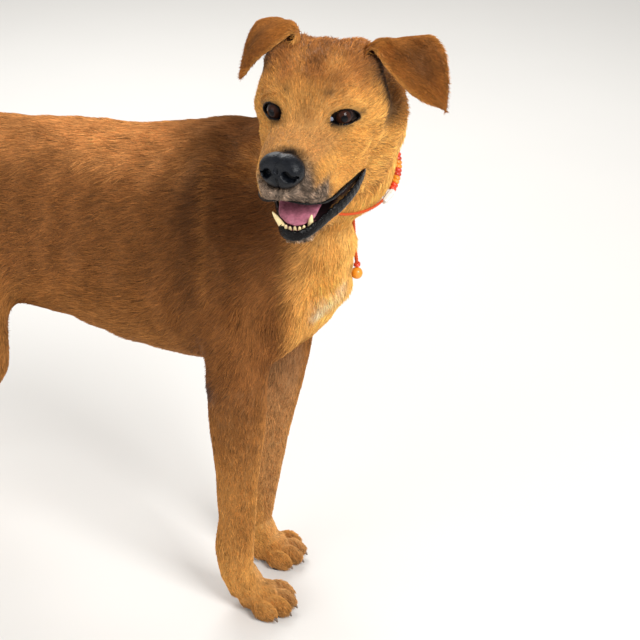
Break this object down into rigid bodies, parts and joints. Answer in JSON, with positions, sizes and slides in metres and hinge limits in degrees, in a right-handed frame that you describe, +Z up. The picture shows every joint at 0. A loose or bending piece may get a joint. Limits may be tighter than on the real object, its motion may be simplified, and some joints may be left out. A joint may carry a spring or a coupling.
{
  "type": "dog",
  "caption": "Life-size short-coated tan dog standing square, its head turned to its right with the mouth open, wearing a beaded cord collar.",
  "frame": {"origin": "on the floor, under the middle of the whole dog's box", "axes": "+X the way the body points, +Y the dog's left, +Z up; the muzzle points to -Y"},
  "size_m": [0.8454, 0.3716, 0.7493],
  "materials": {
    "body_coat": "short flat coat, reddish brown on the back and gold below",
    "leg_coat": "short flat coat, pale gold",
    "face_coat": "very short coat, tan, grizzled grey round the mouth",
    "ear_coat": "very short coat, dark brown outside, thin and paler inside",
    "eye": "wet and glossy, dark brown",
    "nose_leather": "pebbled and moist, slate black",
    "lip_leather": "black, bumpy and moist",
    "tongue": "moist, pink mauve, finely rough",
    "mouth_lining": "moist, dark pink",
    "teeth": "glossy, ivory, yellow at the root",
    "claw": "horn, pale grey brown",
    "pad_leather": "rough, dark grey",
    "collar_beads": "twisted cord, orange red and yellow orange in turn",
    "collar_cord": "thin twisted cord, orange",
    "collar_clip": "smooth, off-white"
  },
  "bodies": {
    "root": {"head": "face_coat", "lower_jaw": "face_coat", "nose": "nose_leather", "tongue": "tongue", "teeth_lower": "teeth", "eye_right": "eye", "eye_left": "eye", "ear_right": "ear_coat", "ear_left": "ear_coat", "tail": "body_coat", "shoulder_right": "body_coat", "forearm_right": "leg_coat", "front_paw_right": "leg_coat", "thigh_right": "body_coat", "shank_right": "body_coat", "hind_foot_right": "leg_coat", "hind_paw_right": "leg_coat", "shoulder_left": "body_coat", "forearm_left": "leg_coat", "front_paw_left": "leg_coat", "thigh_left": "body_coat", "shank_left": "body_coat", "hind_foot_left": "leg_coat", "hind_paw_left": "leg_coat", "neck": "body_coat", "chest": "body_coat", "belly": "body_coat", "rump": "body_coat", "collar": "collar_beads", "collar_clip": "collar_clip", "collar_end": "collar_cord"}
  },
  "joints": []
}
